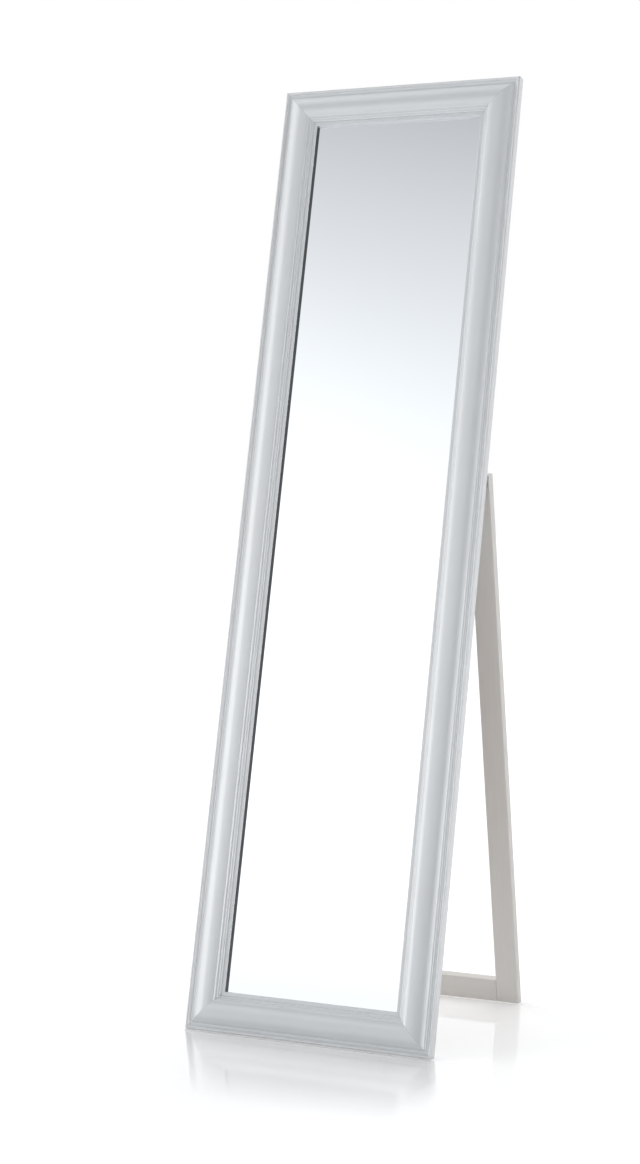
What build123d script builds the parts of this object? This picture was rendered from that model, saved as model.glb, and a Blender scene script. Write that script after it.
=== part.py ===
from build123d import *

import os
from math import asin, atan2, cos, degrees, hypot, radians, sin

# Free-standing floor mirror: a leaning frame of mitred moulding with a hinged stand behind it.
# Millimetres. World frame: X across, to the right as seen from the front; +Y to the back; +Z up;
# the origin is on the floor, under the centre of the whole object's box.

# Frame
FRAME_WIDTH = 400.0
FRAME_HEIGHT = 1500.0
LEAN = 12.5                 # degrees that the frame leans back
FRONT_LIFT = 1.7            # height of the bottom edge's front arris over the floor

# Moulding, as its cutter is ground: radii and turns from the outer edge to the sight edge
MOULDING_WIDTH = 60.0
SIDE_THICKNESS = 16.0       # height of the outer edge over the back
ARRIS_RADIUS = 2.0
LIP_RADIUS = 3.2
LIP_FALL = 58.0             # slope down from the lip into the cove
COVE_RADIUS = 3.6
COVE_RISE = 64.0            # steepest slope, where the cove meets the crown
CROWN_CURVES = (            # slope at the end of each curve of the crown, and its radius
    (36.0, 5.5),
    (17.0, 36.0),
    (0.0, 38.0),
    (-17.0, 34.0),
    (-58.0, 6.2),
)
QUIRK_DEPTH = 0.8
BEAD_TURN = 80.0
BEAD_RADII = (2.9, 2.5)     # the two small beads between crown and sight fillet
BEAD_FLAT = 0.4             # flat top ahead of each bead's round
SIGHT_HEIGHT = 13.3         # height of the flat sight fillet over the back
SIGHT_RADIUS = 1.0

# Rebate and what it holds
LIP_THICKNESS = 6.0         # from the sight fillet down to the rebate's seat
REBATE_WIDTH = 8.0
GLASS_THICKNESS = 3.0
BOARD_THICKNESS = 2.5
SHEET_CLEARANCE = 1.0       # round the glass and the board

# Fasteners of the frame
POINT_LENGTH = 14.0
POINT_WIDTH = 6.0
POINT_THICKNESS = 0.5
POINT_EMBED = 7.0
POINTS_PER_STILE = 5
POINTS_PER_RAIL = 2
POINT_END_MARGIN = 110.0    # from the rebate's end to a stile's first point
NAIL_LEG = 8.0
NAIL_THICKNESS = 0.6
NAIL_DEPTH = 10.0
NAIL_SPREAD = 50.0          # degrees between a nail's leg and the mitre
NAIL_PLACES = (16.0, 38.0)  # distance of each nail from the frame's outer corner, across the moulding

# Stand
STAND_INSET = 0.0           # of each leg's side from the frame's side
BOARD_WIDTH = 36.0          # legs and rails are cut from one board
STAND_THICKNESS = 16.0
STAND_LEAN = 11.8           # degrees between the open stand and the vertical
HINGE_UP = 871.0            # hinge axis over the frame's bottom edge, along its back
EDGE_EASE = 0.8             # eased edges of the boards
DOWEL_DIAMETER = 6.0
DOWEL_LENGTH = 30.0
DOWEL_SPACING = 20.0
DOWEL_CLEARANCE = 0.05
DOWEL_END_GAP = 0.5

# Hinges
PIN_DIAMETER = 3.0
PIN_CLEARANCE = 0.05
LEAF_THICKNESS = 1.5
LEAF_LENGTH = 30.0
LEAF_DEPTH = 24.0           # from the pin's axis to the leaf's free edge
LEAF_CORNER = 3.0
KNUCKLE_RADIUS = 2.8
KNUCKLE_GAP = 0.3
LEAF_SCREWS = ((-9.5, 18.0), (9.5, 18.0), (0.0, 10.0))  # along the pin, and down from it
TOP_GAP = 4.0               # from the pin's axis down to the top of the stand

# Countersunk screws
SIDES = 10                  # flats round each screw and dowel, and round the hole that it fits
SCREW_DIAMETER = 3.0
SCREW_HEAD = 6.0
SCREW_HEAD_DEPTH = 1.4
SCREW_TIP = 3.0
SCREW_CLEARANCE = 0.05
HINGE_SCREW_LENGTH = 11.0
BRACKET_SCREW_LENGTH = 13.0

# Stays that stop the stand when it is open
STAY_PIVOT_DOWN = 60.0      # pivot on the frame, below the hinge axis
STAY_PIVOT_OUT = 9.0        # and behind the frame's back
STAY_STUD_DOWN = 215.0      # stud on the leg, below the hinge axis
STAY_WIDTH = 12.0
STAY_THICKNESS = 2.0
STAY_STANDOFF = 1.8         # between the leg's inner face and the bar
STAY_GAP = 0.3              # between the bar and what it turns against
STUD_DIAMETER = 4.0
STUD_THREAD = 3.0
STUD_THREAD_LENGTH = 14.0
STUD_HEAD_DIAMETER = 9.0
STUD_HEAD_HEIGHT = 1.5
SLOT_PLAY = 0.7             # each side of the stud, across the slot
SLOT_END_GAP = 0.3
RATIO_STEPS = 60            # poses tried between open and folded
STAY_END = 4.0              # metal beyond the slot
WASHER_DIAMETER = 9.0
RIVET_DIAMETER = 4.0
RIVET_CLEARANCE = 0.05
RIVET_HEAD_DIAMETER = 8.0
RIVET_HEAD_HEIGHT = 1.2
BRACKET_THICKNESS = 2.0
BRACKET_LENGTH = 34.0
BRACKET_WIDTH = 12.0
BRACKET_EAR = 18.0          # width of the ear at its foot
BRACKET_EAR_RADIUS = 6.0
BRACKET_SCREW_SPACING = 22.0

# Places that follow from the sizes above
STAND_WIDTH = FRAME_WIDTH - 2 * STAND_INSET
AXIS_OUT = KNUCKLE_RADIUS + KNUCKLE_GAP             # a knuckle clears the wood that it turns over
STAND_MIDDLE = AXIS_OUT + STAND_THICKNESS / 2       # middle of the stand's boards behind the axis
OPENING = LEAN + STAND_LEAN
LEG_CENTRE = (STAND_WIDTH - BOARD_WIDTH) / 2
LEG_INNER = STAND_WIDTH / 2 - BOARD_WIDTH
REBATE_SEAT = SIGHT_HEIGHT - LIP_THICKNESS
REBATE_WALL = MOULDING_WIDTH - REBATE_WIDTH
DROP = FRONT_LIFT - SIDE_THICKNESS * sin(radians(LEAN))
RAIL_LENGTH = STAND_WIDTH - 2 * BOARD_WIDTH


def heading_arc(start, heading, radius, turn):
    """Arc that leaves start at a heading and turns, left when turn is positive. Degrees."""
    side = 1 if turn > 0 else -1
    centre = (
        start[0] - side * radius * sin(radians(heading)),
        start[1] + side * radius * cos(radians(heading)),
    )

    def at(angle):
        return (
            centre[0] + side * radius * sin(radians(angle)),
            centre[1] - side * radius * cos(radians(angle)),
        )

    end = at(heading + turn)
    return ThreePointArc(start, at(heading + turn / 2), end), end


def moulding_profile():
    """Section of the moulding: first number from the outer edge inwards, second over the back."""
    edges = []

    def line_to(start, end):
        edges.append(Line(start, end))
        return end

    def arc(start, heading, radius, turn):
        edge, end = heading_arc(start, heading, radius, turn)
        edges.append(edge)
        return end

    at = line_to((0, 0), (0, SIDE_THICKNESS - ARRIS_RADIUS))
    at = arc(at, 90, ARRIS_RADIUS, -90)
    at = arc(at, 0, LIP_RADIUS, -LIP_FALL)
    at = arc(at, -LIP_FALL, COVE_RADIUS, LIP_FALL + COVE_RISE)
    slope = COVE_RISE
    for next_slope, radius in CROWN_CURVES:
        at = arc(at, slope, radius, next_slope - slope)
        slope = next_slope
    at = line_to(at, (at[0], at[1] - QUIRK_DEPTH))
    for radius in BEAD_RADII:
        at = line_to(at, (at[0] + BEAD_FLAT, at[1]))
        at = arc(at, 0, radius, -BEAD_TURN)
    at = line_to(at, (at[0], SIGHT_HEIGHT))
    at = line_to(at, (MOULDING_WIDTH - SIGHT_RADIUS, SIGHT_HEIGHT))
    at = arc(at, 0, SIGHT_RADIUS, -90)
    for corner in (
        (MOULDING_WIDTH, REBATE_SEAT),
        (REBATE_WALL, REBATE_SEAT),
        (REBATE_WALL, 0),
        (0, 0),
    ):
        at = line_to(at, corner)
    return make_face(Wire(edges))


def box_between(low, high):
    """Box from its lowest to its highest corner."""
    size = [b - a for a, b in zip(low, high)]
    return Pos(*low) * Box(*size, align=(Align.MIN, Align.MIN, Align.MIN))


def member(length):
    """Length of moulding, mitred at both ends: outer edge along X at Z 0, back on Y 0."""
    section_plane = Plane(origin=(-length / 2, 0, 0), x_dir=(0, 0, 1), z_dir=(1, 0, 0))
    bar = extrude(section_plane * moulding_profile(), length)
    half = length / 2
    mitre = Polyline(
        (-half, 0),
        (half, 0),
        (half - MOULDING_WIDTH, MOULDING_WIDTH),
        (-half + MOULDING_WIDTH, MOULDING_WIDTH),
        close=True,
    )
    wedge_plane = Plane(origin=(0, 0, 0), x_dir=(1, 0, 0), z_dir=(0, -1, 0))
    wedge = extrude(wedge_plane * make_face(mitre), MOULDING_WIDTH, both=True)
    return bar & wedge


def frame_sides():
    """Where each member lies in the frame: its length and its move from member() coordinates."""
    centre = FRAME_HEIGHT / 2
    return {
        "frame_rail_bottom": (FRAME_WIDTH, Pos(0, 0, 0)),
        "frame_rail_top": (FRAME_WIDTH, Pos(0, 0, FRAME_HEIGHT) * Rot(0, 180, 0)),
        "frame_stile_left": (FRAME_HEIGHT, Pos(-FRAME_WIDTH / 2, 0, centre) * Rot(0, 90, 0)),
        "frame_stile_right": (FRAME_HEIGHT, Pos(FRAME_WIDTH / 2, 0, centre) * Rot(0, -90, 0)),
    }


def corner_nail():
    """V nail: its point on the mitre at the origin, its legs to +X +Z, driven towards -Y."""
    legs = []
    for side in (1, -1):
        leg = box_between(
            (0, -NAIL_DEPTH, -NAIL_THICKNESS / 2), (NAIL_LEG, 0, NAIL_THICKNESS / 2)
        )
        legs.append(Rot(0, -45 + side * NAIL_SPREAD, 0) * leg)
    return legs[0] + legs[1]


def corner_nails():
    """Two V nails across the back of each mitre."""
    nails = []
    for side_x in (-1, 1):
        for top in (False, True):
            for place in NAIL_PLACES:
                x = side_x * (FRAME_WIDTH / 2 - place)
                z = FRAME_HEIGHT - place if top else place
                turn = {(-1, False): 0, (-1, True): 90, (1, True): 180, (1, False): 270}[(side_x, top)]
                nails.append(Pos(x, 0, z) * Rot(0, turn, 0) * corner_nail())
    return nails


def retaining_point():
    """Flat framer's point: on the board at Y 0, its tip driven into the rebate wall towards -X."""
    tip = POINT_WIDTH / 2
    outline = Polyline(
        (-POINT_EMBED, 0),
        (-POINT_EMBED + tip, -POINT_WIDTH / 2),
        (POINT_LENGTH - POINT_EMBED, -POINT_WIDTH / 2),
        (POINT_LENGTH - POINT_EMBED, POINT_WIDTH / 2),
        (-POINT_EMBED + tip, POINT_WIDTH / 2),
        close=True,
    )
    plane = Plane(origin=(0, 0, 0), x_dir=(1, 0, 0), z_dir=(0, -1, 0))
    return extrude(plane * make_face(outline), -POINT_THICKNESS)


def retaining_points():
    """Points that press the board and the glass against the rebate's seat."""
    back_of_board = -(REBATE_SEAT - GLASS_THICKNESS - BOARD_THICKNESS)
    wall_x = FRAME_WIDTH / 2 - REBATE_WALL
    wall_z = FRAME_HEIGHT / 2 - REBATE_WALL
    centre = FRAME_HEIGHT / 2
    points = []
    reach = wall_z - POINT_END_MARGIN
    for n in range(POINTS_PER_STILE):
        z = centre - reach + 2 * reach * n / (POINTS_PER_STILE - 1)
        points.append(Pos(-wall_x, back_of_board, z) * retaining_point())
        points.append(Pos(wall_x, back_of_board, z) * Rot(0, 180, 0) * retaining_point())
    for n in range(POINTS_PER_RAIL):
        x = wall_x * (2 * (n + 0.5) / POINTS_PER_RAIL - 1)
        points.append(Pos(x, back_of_board, centre + wall_z) * Rot(0, 90, 0) * retaining_point())
        points.append(Pos(x, back_of_board, centre - wall_z) * Rot(0, -90, 0) * retaining_point())
    return points


def sheet(front, thickness):
    """Sheet that fills the rebate, with clearance all round; front is its height over the back."""
    half_x = FRAME_WIDTH / 2 - REBATE_WALL - SHEET_CLEARANCE
    low = REBATE_WALL + SHEET_CLEARANCE
    return box_between((-half_x, -front, low), (half_x, -front + thickness, FRAME_HEIGHT - low))


def prism(rings):
    """Closed solid along Z with flats between rings of corners: pairs of a radius and a height."""
    turns = [radians(360 * n / SIDES) for n in range(SIDES)]
    corners = [[(r * cos(turn), r * sin(turn), z) for turn in turns] for r, z in rings]
    faces = [Face(Wire.make_polygon(corners[0]))]
    for (r, _), upper, lower in zip(rings[1:], corners, corners[1:]):
        for n in range(SIDES):
            flat = [upper[n - 1], upper[n], lower[n], lower[n - 1]]
            faces.append(Face(Wire.make_polygon(flat if r else flat[:3])))
    if rings[-1][0]:
        faces.append(Face(Wire.make_polygon(corners[-1])))
    return Solid(Shell(faces))


def screw(length):
    """Countersunk wood screw, driven along -Z, its head flush at Z 0."""
    shank = SCREW_DIAMETER / 2
    return prism((
        (SCREW_HEAD / 2, 0),
        (shank, -SCREW_HEAD_DEPTH),
        (shank, -length + SCREW_TIP),
        (0, -length),
    ))


def screw_hole(length):
    """What a screw takes out of the leaf and the wood under it."""
    c = SCREW_CLEARANCE
    head = SCREW_HEAD / 2 + c
    shank = SCREW_DIAMETER / 2 + c
    return prism((
        (head, c),
        (head, 0),
        (shank, -SCREW_HEAD_DEPTH),
        (shank, -length + SCREW_TIP),
        (0, -length - c),
    ))


def cut(shape, tools):
    """Shape with every tool taken out."""
    for tool in tools:
        shape = shape - tool
    return shape


def leaf_screws(side, make):
    """One thing for each screw of a leaf that lies on a face at Y 0 and is driven towards side * Y."""
    turn = Rot(90, 0, 0) if side > 0 else Rot(-90, 0, 0)
    return [
        Pos(along, -side * LEAF_THICKNESS, -down) * turn * make(HINGE_SCREW_LENGTH)
        for along, down in LEAF_SCREWS
    ]


def hinge_leaf(side, spans):
    """Hinge leaf. The wood's face is Y 0 and the wood is on the side * Y side; the pin lies along X.

    The leaf hangs down from its knuckles, which stand on its own outer face.
    """
    axis_y = -side * AXIS_OUT
    low_y, high_y = sorted((0.0, -side * LEAF_THICKNESS))
    plate = box_between((-LEAF_LENGTH / 2, low_y, -LEAF_DEPTH), (LEAF_LENGTH / 2, high_y, 0))
    free_corners = plate.edges().filter_by(Axis.Y).group_by(Axis.Z)[0]
    plate = fillet(free_corners, LEAF_CORNER)
    solid = None
    clear = KNUCKLE_RADIUS + KNUCKLE_GAP
    for low, high in spans:
        barrel = Pos((low + high) / 2, axis_y, 0) * Rot(0, 90, 0) * Cylinder(KNUCKLE_RADIUS, high - low)
        solid = barrel if solid is None else solid + barrel
    edges = [-LEAF_LENGTH / 2] + [v for span in spans for v in span] + [LEAF_LENGTH / 2]
    for low, high in zip(edges[::2], edges[1::2]):
        if high - low > KNUCKLE_GAP / 2:
            plate = plate - box_between((low, -LEAF_DEPTH, -clear), (high, LEAF_DEPTH, clear))
    solid = solid + plate
    bore = Pos(0, axis_y, 0) * Rot(0, 90, 0) * Cylinder(
        PIN_DIAMETER / 2 + PIN_CLEARANCE, LEAF_LENGTH + 2
    )
    return cut(solid - bore, leaf_screws(side, screw_hole))


def knuckle_spans():
    """Stretches along the pin: the frame leaf's two outer knuckles and the stand leaf's middle one."""
    third = LEAF_LENGTH / 3
    half = LEAF_LENGTH / 2
    frame = ((-half, -half + third - KNUCKLE_GAP / 2), (half - third + KNUCKLE_GAP / 2, half))
    stand = ((-third / 2 + KNUCKLE_GAP / 2, third / 2 - KNUCKLE_GAP / 2),)
    return frame, stand


def hinge_pin():
    """Plain pin along X through the origin, as long as the leaf."""
    return Rot(0, 90, 0) * Cylinder(PIN_DIAMETER / 2, LEAF_LENGTH)


def stay_points(opening):
    """Pivot and stud of a stay, in the frame's (out, up) plane about the hinge axis."""
    out = STAND_MIDDLE
    turn = radians(opening)
    pivot = (STAY_PIVOT_OUT - AXIS_OUT, -STAY_PIVOT_DOWN)
    stud = (
        out * cos(turn) + STAY_STUD_DOWN * sin(turn),
        out * sin(turn) - STAY_STUD_DOWN * cos(turn),
    )
    return pivot, stud


def stay_reach(opening):
    """Distance from pivot to stud, and the bar's angle out from the frame's back, in degrees."""
    pivot, stud = stay_points(opening)
    out, up = stud[0] - pivot[0], stud[1] - pivot[1]
    return hypot(out, up), degrees(atan2(out, -up))


def stay_least_reach():
    """Shortest distance from pivot to stud on the way from open to folded."""
    pivot, stud = stay_points(0)
    return hypot(*stud) - hypot(*pivot)


def stay_ratio():
    """Constant ratio of a stay's turn to the stand's turn that strays least across the slot."""
    _, angle_open = stay_reach(OPENING)
    _, angle_folded = stay_reach(0)
    ends_ratio = (angle_open - angle_folded) / OPENING

    def stray(ratio):
        misses = []
        for step in range(RATIO_STEPS + 1):
            turned = OPENING * step / RATIO_STEPS
            reach, angle = stay_reach(OPENING - turned)
            misses.append(abs(reach * radians(angle - angle_open + ratio * turned)))
        return max(misses)

    return min((ends_ratio - n / 10000 for n in range(RATIO_STEPS * 2)), key=stray)


def stay_bar(outer_face, side):
    """Slotted bar that hangs from its pivot at the origin, in the X plane of its outer face."""
    reach, _ = stay_reach(OPENING)
    least = stay_least_reach()
    slot_width = STUD_DIAMETER + 2 * SLOT_PLAY
    slot_low = reach + STUD_DIAMETER / 2 + SLOT_END_GAP
    slot_high = least - STUD_DIAMETER / 2 - SLOT_END_GAP
    end = slot_low + STAY_END
    half = STAY_WIDTH / 2
    plane = Plane(origin=(outer_face, 0, 0), x_dir=(0, 0, -1), z_dir=(-side, 0, 0))
    centre = (end - half) / 2
    blank = Pos(centre, 0) * SlotCenterToCenter(end - half, STAY_WIDTH)
    slot = Pos((slot_low + slot_high) / 2, 0) * SlotOverall(slot_low - slot_high, slot_width)
    hole = Circle(RIVET_DIAMETER / 2 + RIVET_CLEARANCE)
    return extrude(plane * (blank - slot - hole), STAY_THICKNESS)


def stay_bracket(ear_outer, side):
    """Angle bracket on the frame's back: pivot height is Z 0, the back is Y 0, the ear faces X.

    Its base lies outwards, over the solid wood, and low enough for the bar and the folded leg.
    """
    ear_inner = ear_outer - side * BRACKET_THICKNESS
    base_outer = ear_inner + side * BRACKET_WIDTH
    ear_plane = Plane(origin=(ear_outer, 0, 0), x_dir=(0, 0, 1), z_dir=(-side, 0, 0))
    out = side * STAY_PIVOT_OUT
    foot = BRACKET_EAR / 2
    lean = asin((foot - BRACKET_EAR_RADIUS) / STAY_PIVOT_OUT)
    rim = (BRACKET_EAR_RADIUS * cos(lean), out + side * BRACKET_EAR_RADIUS * sin(lean))
    top = (0, out + side * BRACKET_EAR_RADIUS)
    outline = Wire([
        Line((-foot, 0), (foot, 0)),
        Line((foot, 0), rim),
        ThreePointArc(rim, top, (-rim[0], rim[1])),
        Line((-rim[0], rim[1]), (-foot, 0)),
    ])
    ear = extrude(ear_plane * make_face(outline), BRACKET_THICKNESS)
    low_x, high_x = sorted((ear_inner, base_outer))
    base = box_between(
        (low_x, 0, -BRACKET_LENGTH / 2), (high_x, BRACKET_THICKNESS, BRACKET_LENGTH / 2)
    )
    free_side = Axis.X if side > 0 else -Axis.X
    base = fillet(base.edges().filter_by(Axis.Y).group_by(free_side)[-1], LEAF_CORNER)
    solid = base + ear
    hole = Pos(ear_inner, STAY_PIVOT_OUT, 0) * Rot(0, 90, 0) * Cylinder(
        RIVET_DIAMETER / 2 + RIVET_CLEARANCE, 4 * BRACKET_THICKNESS
    )
    return cut(solid - hole, bracket_screws(ear_outer, side, screw_hole))


def bracket_screws(ear_outer, side, make):
    """One thing for each screw of a bracket, driven into the frame's back."""
    x = ear_outer + side * (BRACKET_WIDTH - BRACKET_THICKNESS) / 2
    return [
        Pos(x, BRACKET_THICKNESS, z) * Rot(-90, 0, 0) * make(BRACKET_SCREW_LENGTH)
        for z in (-BRACKET_SCREW_SPACING / 2, BRACKET_SCREW_SPACING / 2)
    ]


def turned_along_x(radii_and_lengths, start, side):
    """Turned piece along X: discs laid end to end from start, towards the middle on that side."""
    solid = None
    at = start
    for radius, length in radii_and_lengths:
        disc = Pos(at - side * length / 2, 0, 0) * Rot(0, 90, 0) * Cylinder(radius, length)
        solid = disc if solid is None else solid + disc
        at -= side * length
    return solid


def stay_x(side):
    """Faces of the stay's pieces along X, from the leg inwards."""
    leg_face = side * LEG_INNER
    bar_outer = leg_face - side * STAY_STANDOFF
    bar_inner = bar_outer - side * STAY_THICKNESS
    ear_outer = bar_inner - side * STAY_GAP
    return leg_face, bar_outer, bar_inner, ear_outer


def stay_rivet(side):
    """Rivet through the bar and the bracket's ear, its axis through the origin."""
    _, bar_outer, _, ear_outer = stay_x(side)
    ear_inner = ear_outer - side * BRACKET_THICKNESS
    clearance = STAY_GAP / 3
    grip = abs(bar_outer - ear_inner) + clearance
    head = (RIVET_HEAD_DIAMETER / 2, RIVET_HEAD_HEIGHT)
    start = bar_outer + side * (clearance + RIVET_HEAD_HEIGHT)
    return turned_along_x((head, (RIVET_DIAMETER / 2, grip), head), start, side)


def stay_stud(side):
    """Shoulder screw in the leg's inner face; the bar's slot runs on its shoulder."""
    leg_face, _, bar_inner, _ = stay_x(side)
    shoulder = abs(leg_face - bar_inner) + STAY_GAP
    parts = (
        (STUD_THREAD / 2, STUD_THREAD_LENGTH),
        (STUD_DIAMETER / 2, shoulder),
        (STUD_HEAD_DIAMETER / 2, STUD_HEAD_HEIGHT),
    )
    return turned_along_x(parts, leg_face + side * STUD_THREAD_LENGTH, side)


def stay_washer(side):
    """Spacer washer on the stud, between the leg and the bar."""
    leg_face, bar_outer, _, _ = stay_x(side)
    thickness = abs(leg_face - bar_outer) - STAY_GAP
    middle = leg_face - side * thickness / 2
    disc = Cylinder(WASHER_DIAMETER / 2, thickness)
    bore = Cylinder(STUD_DIAMETER / 2 + RIVET_CLEARANCE, 2 * thickness)
    return Pos(middle, 0, 0) * Rot(0, 90, 0) * (disc - bore)


def board(low, high, axis):
    """Planed board between two corners, with the edges along its length eased."""
    blank = box_between(low, high)
    return chamfer(blank.edges().filter_by(axis), EDGE_EASE)


def dowel():
    """Dowel along X."""
    radius, half = DOWEL_DIAMETER / 2, DOWEL_LENGTH / 2
    return Rot(0, 90, 0) * prism(((radius, -half), (radius, half)))


def dowel_bore():
    """What a dowel takes out of the leg and the rail, with its clearance and room at its ends."""
    radius, half = DOWEL_DIAMETER / 2 + DOWEL_CLEARANCE, DOWEL_LENGTH / 2 + DOWEL_END_GAP
    return Rot(0, 90, 0) * prism(((radius, -half), (radius, half)))


def dowel_places(rail_height):
    """Centres of the dowels that join the rail at this height to both legs."""
    return [
        (side * LEG_INNER, STAND_MIDDLE, rail_height + offset)
        for side in (-1, 1)
        for offset in (-DOWEL_SPACING / 2, DOWEL_SPACING / 2)
    ]


def on_frame(shape):
    """From the frame's own upright coordinates to the leaning frame in the world."""
    return Pos(0, 0, DROP) * Rot(-LEAN, 0, 0) * shape


def hinge_axis():
    """Hinge axis in the world: its Y and Z."""
    lean = radians(LEAN)
    return (
        AXIS_OUT * cos(lean) + HINGE_UP * sin(lean),
        HINGE_UP * cos(lean) - AXIS_OUT * sin(lean) + DROP,
    )


def on_stand(shape):
    """From the stand's own coordinates, hung from the hinge axis, to the open stand in the world."""
    return Pos(0, *hinge_axis()) * Rot(STAND_LEAN, 0, 0) * shape


def on_stay(shape):
    """From a bar that hangs from its pivot to its place between the frame and the open stand."""
    _, angle = stay_reach(OPENING)
    pivot = Pos(0, STAY_PIVOT_OUT, HINGE_UP - STAY_PIVOT_DOWN)
    return on_frame(pivot * Rot(angle, 0, 0) * shape)


def above_floor(shape):
    """Shape with what lies below the floor planed off."""
    reach = 4 * FRAME_HEIGHT
    return shape - box_between((-reach, -reach, -reach), (reach, reach, 0))


def build_frame():
    """Moulded frame with its glass, board and fasteners."""
    nails = corner_nails()
    points = retaining_points()
    hinge_holes = [
        Pos(side * LEG_CENTRE, 0, HINGE_UP) * hole
        for side in (-1, 1)
        for hole in leaf_screws(-1, screw_hole)
    ]
    bracket_holes = [
        Pos(0, 0, HINGE_UP - STAY_PIVOT_DOWN) * hole
        for side in (-1, 1)
        for hole in bracket_screws(stay_x(side)[3], side, screw_hole)
    ]
    nodes = {}
    for name, (length, move) in frame_sides().items():
        piece = move * member(length)
        near = piece.bounding_box()
        tools = [
            tool
            for tool in nails + points + hinge_holes + bracket_holes
            if boxes_meet(near, tool.bounding_box())
        ]
        nodes[name] = [above_floor(on_frame(cut(piece, tools)))]
    glass = sheet(REBATE_SEAT, GLASS_THICKNESS)
    backing = sheet(REBATE_SEAT - GLASS_THICKNESS, BOARD_THICKNESS)
    nodes["corner_v_nails"] = [on_frame(nail) for nail in nails]
    nodes["mirror_glass"] = [on_frame(glass)]
    nodes["backing_board"] = [on_frame(backing)]
    nodes["retaining_points"] = [on_frame(point) for point in points]
    return nodes


def boxes_meet(one, other):
    """Whether two bounding boxes share space."""
    return all(
        low_a < high_b and low_b < high_a
        for low_a, high_a, low_b, high_b in zip(one.min, one.max, other.min, other.max)
    )


def build_stand():
    """Two legs, head rail and foot rail, joined by dowels, standing on the floor."""
    front, back = AXIS_OUT, AXIS_OUT + STAND_THICKNESS
    axis_z = hinge_axis()[1]
    leg_end = -(axis_z + back) / cos(radians(STAND_LEAN)) - STAND_THICKNESS
    # Front edge of the foot, where the board's front face reaches the floor
    floor_front = -(axis_z + front * sin(radians(STAND_LEAN))) / cos(radians(STAND_LEAN))
    rails = {
        "stand_head_rail": (-TOP_GAP - BOARD_WIDTH, -TOP_GAP),
        "stand_foot_rail": (leg_end, floor_front + BOARD_WIDTH),
    }
    dowels = dowel_places(-TOP_GAP - BOARD_WIDTH / 2) + dowel_places(floor_front + BOARD_WIDTH / 2)
    bores = [Pos(*place) * dowel_bore() for place in dowels]
    nodes = {}
    for name, side in (("left", -1), ("right", 1)):
        low_x, high_x = sorted((side * LEG_INNER, side * STAND_WIDTH / 2))
        leg = board((low_x, front, leg_end), (high_x, back, -TOP_GAP), Axis.Z)
        screws = [Pos(side * LEG_CENTRE, front, 0) * hole for hole in leaf_screws(1, screw_hole)]
        stud_hole = Pos(
            side * (LEG_INNER + STUD_THREAD_LENGTH / 2), STAND_MIDDLE, -STAY_STUD_DOWN
        ) * Rot(0, 90, 0) * Cylinder(STUD_THREAD / 2 + SCREW_CLEARANCE, STUD_THREAD_LENGTH)
        nodes[f"stand_leg_{name}"] = [above_floor(on_stand(cut(leg, bores + screws + [stud_hole])))]
    for name, (low_z, high_z) in rails.items():
        rail = board(
            (-RAIL_LENGTH / 2, front, low_z), (RAIL_LENGTH / 2, back, high_z), Axis.X
        )
        nodes[name] = [above_floor(on_stand(cut(rail, bores)))]
    nodes["stand_dowels"] = [on_stand(Pos(*place) * dowel()) for place in dowels]
    return nodes


def build_hinges():
    """Two butt hinges: frame leaves, stand leaves, pins and screws."""
    frame_spans, stand_spans = knuckle_spans()
    nodes = {"hinge_frame_screws": [], "hinge_stand_screws": []}
    for name, side in (("left", -1), ("right", 1)):
        on_back = Pos(side * LEG_CENTRE, 0, HINGE_UP)
        on_leg = Pos(side * LEG_CENTRE, AXIS_OUT, 0)
        on_axis = Pos(side * LEG_CENTRE, 0, 0)
        nodes[f"hinge_frame_leaf_{name}"] = [on_frame(on_back * hinge_leaf(-1, frame_spans))]
        nodes[f"hinge_stand_leaf_{name}"] = [on_stand(on_leg * hinge_leaf(1, stand_spans))]
        nodes[f"hinge_pin_{name}"] = [on_stand(on_axis * hinge_pin())]
        nodes["hinge_frame_screws"] += [on_frame(on_back * s) for s in leaf_screws(-1, screw)]
        nodes["hinge_stand_screws"] += [on_stand(on_leg * s) for s in leaf_screws(1, screw)]
    return nodes


def build_stays():
    """Two slotted stays: bracket, rivet, bar, stud and washer on each side."""
    nodes = {"stay_bracket_screws": [], "stay_studs": [], "stay_washers": []}
    pivot = Pos(0, 0, HINGE_UP - STAY_PIVOT_DOWN)
    rivet_axis = pivot * Pos(0, STAY_PIVOT_OUT, 0)
    stud_axis = Pos(0, STAND_MIDDLE, -STAY_STUD_DOWN)
    for name, side in (("left", -1), ("right", 1)):
        _, bar_outer, _, ear_outer = stay_x(side)
        nodes[f"stay_bracket_{name}"] = [on_frame(pivot * stay_bracket(ear_outer, side))]
        nodes[f"stay_rivet_{name}"] = [on_frame(rivet_axis * stay_rivet(side))]
        nodes[f"stay_bar_{name}"] = [on_stay(stay_bar(bar_outer, side))]
        screws = bracket_screws(ear_outer, side, screw)
        nodes["stay_bracket_screws"] += [on_frame(pivot * one) for one in screws]
        nodes["stay_studs"].append(on_stand(stud_axis * stay_stud(side)))
        nodes["stay_washers"].append(on_stand(stud_axis * stay_washer(side)))
    return nodes


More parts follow.
